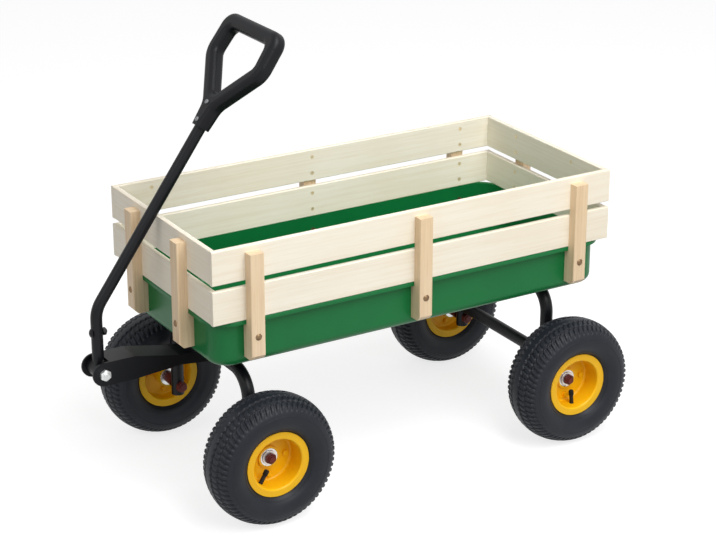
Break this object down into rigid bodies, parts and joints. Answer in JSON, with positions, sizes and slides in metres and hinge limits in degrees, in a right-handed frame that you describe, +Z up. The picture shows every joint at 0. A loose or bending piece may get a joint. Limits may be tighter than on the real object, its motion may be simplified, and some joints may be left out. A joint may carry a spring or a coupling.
{
  "type": "hand wagon",
  "caption": "Hand wagon with a pressed steel tray, slatted wooden sides, pneumatic wheels, a front axle that steers on a king pin, and a tilting tube handle with a D-grip.",
  "frame": {"origin": "on the ground, under the middle of the whole wagon", "axes": "+X forward, towards the handle's pivot; +Y to the wagon's left; +Z up"},
  "size_m": [1.0556, 0.548, 0.8804],
  "materials": {
    "green_enamel": "gloss",
    "yellow_enamel": "gloss",
    "black_powder_coat": "satin",
    "red_oxide_paint": "satin",
    "zinc_plate": "zinc plated",
    "dark_zinc": "dark plated",
    "bearing_steel": "ground",
    "pine": "planed, clear lacquer",
    "stake_wood": "planed, clear lacquer",
    "tyre_rubber": "moulded",
    "tube_rubber": "matte",
    "black_plastic": "moulded",
    "nylon": "moulded"
  },
  "bodies": {
    "chassis": {"tray": "green_enamel", "slat_left_lower": "pine", "slat_left_upper": "pine", "slat_right_lower": "pine", "slat_right_upper": "pine", "slat_front_lower": "pine", "slat_front_upper": "pine", "slat_rear_lower": "pine", "slat_rear_upper": "pine", "stakes_left": "stake_wood", "stakes_right": "stake_wood", "stakes_front": "stake_wood", "stakes_rear": "stake_wood", "slat_screws": "zinc_plate", "stake_bolts": "dark_zinc", "front_bolster": "black_powder_coat", "rear_bolster": "black_powder_coat", "bolster_bolts": "zinc_plate", "rear_axle_arch": "black_powder_coat", "rear_axle_crossbar": "black_powder_coat", "rear_axle_bolts": "zinc_plate", "rear_stub_axles": "red_oxide_paint", "rear_axle_nuts": "zinc_plate", "king_pin": "zinc_plate"},
    "steering": {"front_axle_arch": "black_powder_coat", "turntable_plate": "black_powder_coat", "thrust_washer": "nylon", "tongue": "black_powder_coat", "front_stub_axles": "red_oxide_paint", "front_axle_nuts": "zinc_plate", "pivot_bolt": "zinc_plate"},
    "handle": {"pivot_stem": "black_powder_coat", "handle_tube": "black_powder_coat", "stem_bolt": "black_powder_coat", "handle_grip": "black_plastic", "grip_screws": "zinc_plate"},
    "front_left_wheel": {"front_left_tyre": "tyre_rubber", "front_left_inner_tube": "tube_rubber", "front_left_rim_outer": "yellow_enamel", "front_left_rim_inner": "yellow_enamel", "front_left_rim_bolts": "yellow_enamel", "front_left_bearings": "bearing_steel"},
    "front_right_wheel": {"front_right_tyre": "tyre_rubber", "front_right_inner_tube": "tube_rubber", "front_right_rim_outer": "yellow_enamel", "front_right_rim_inner": "yellow_enamel", "front_right_rim_bolts": "yellow_enamel", "front_right_bearings": "bearing_steel"},
    "rear_left_wheel": {"rear_left_tyre": "tyre_rubber", "rear_left_inner_tube": "tube_rubber", "rear_left_rim_outer": "yellow_enamel", "rear_left_rim_inner": "yellow_enamel", "rear_left_rim_bolts": "yellow_enamel", "rear_left_bearings": "bearing_steel"},
    "rear_right_wheel": {"rear_right_tyre": "tyre_rubber", "rear_right_inner_tube": "tube_rubber", "rear_right_rim_outer": "yellow_enamel", "rear_right_rim_inner": "yellow_enamel", "rear_right_rim_bolts": "yellow_enamel", "rear_right_bearings": "bearing_steel"}
  },
  "joints": [
    {"name": "steer", "type": "hinge", "parent": "chassis", "child": "steering", "pos_m": [0.27323, 0, 0.2815], "axis": [0, 0, 1], "range_deg": [-22, 22]},
    {"name": "handle_tilt", "type": "hinge", "parent": "steering", "child": "handle", "pos_m": [0.50477, 0, 0.27], "axis": [0, 1, 0], "range_deg": [0, 140]},
    {"name": "front_left_spin", "type": "hinge", "parent": "steering", "child": "front_left_wheel", "pos_m": [0.27323, 0.226, 0.127], "axis": [0, 1, 0], "continuous": true},
    {"name": "front_right_spin", "type": "hinge", "parent": "steering", "child": "front_right_wheel", "pos_m": [0.27323, -0.226, 0.127], "axis": [0, 1, 0], "continuous": true},
    {"name": "rear_left_spin", "type": "hinge", "parent": "chassis", "child": "rear_left_wheel", "pos_m": [-0.40077, 0.226, 0.127], "axis": [0, 1, 0], "continuous": true},
    {"name": "rear_right_spin", "type": "hinge", "parent": "chassis", "child": "rear_right_wheel", "pos_m": [-0.40077, -0.226, 0.127], "axis": [0, 1, 0], "continuous": true}
  ]
}
